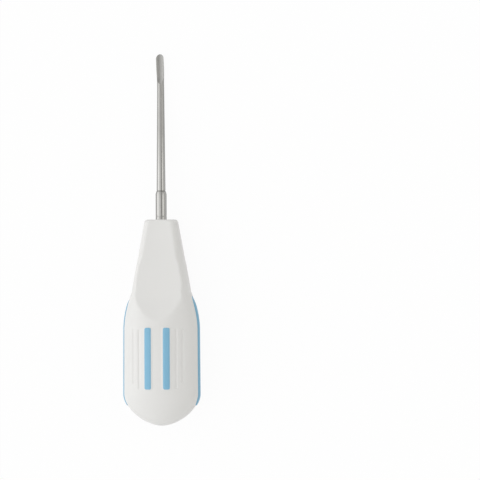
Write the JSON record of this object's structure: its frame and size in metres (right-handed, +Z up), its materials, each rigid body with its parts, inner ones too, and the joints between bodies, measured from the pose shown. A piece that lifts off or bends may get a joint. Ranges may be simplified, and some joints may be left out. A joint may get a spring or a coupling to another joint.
{
  "type": "luxating elevator",
  "caption": "Slim steel dental elevator with a curved hollow tip, in a white bulb handle with blue inlaid grips and flat thumb rests.",
  "frame": {"origin": "centre of the footprint at the surface the instrument lies on", "axes": "+Y runs along the instrument from the butt to the tip, +Z is up, out of the front thumb rest, and X runs across the handle"},
  "size_m": [0.033, 0.1556, 0.0237],
  "materials": {
    "steel": "satin",
    "white_plastic": "satin",
    "blue_grip": "matte"
  },
  "bodies": {
    "root": {"blade": "steel", "handle_body": "white_plastic", "front_rib_left": "blue_grip", "front_rib_right": "blue_grip", "back_rib_left": "blue_grip", "back_rib_right": "blue_grip", "side_grip_left": "blue_grip", "side_grip_right": "blue_grip"}
  },
  "joints": []
}
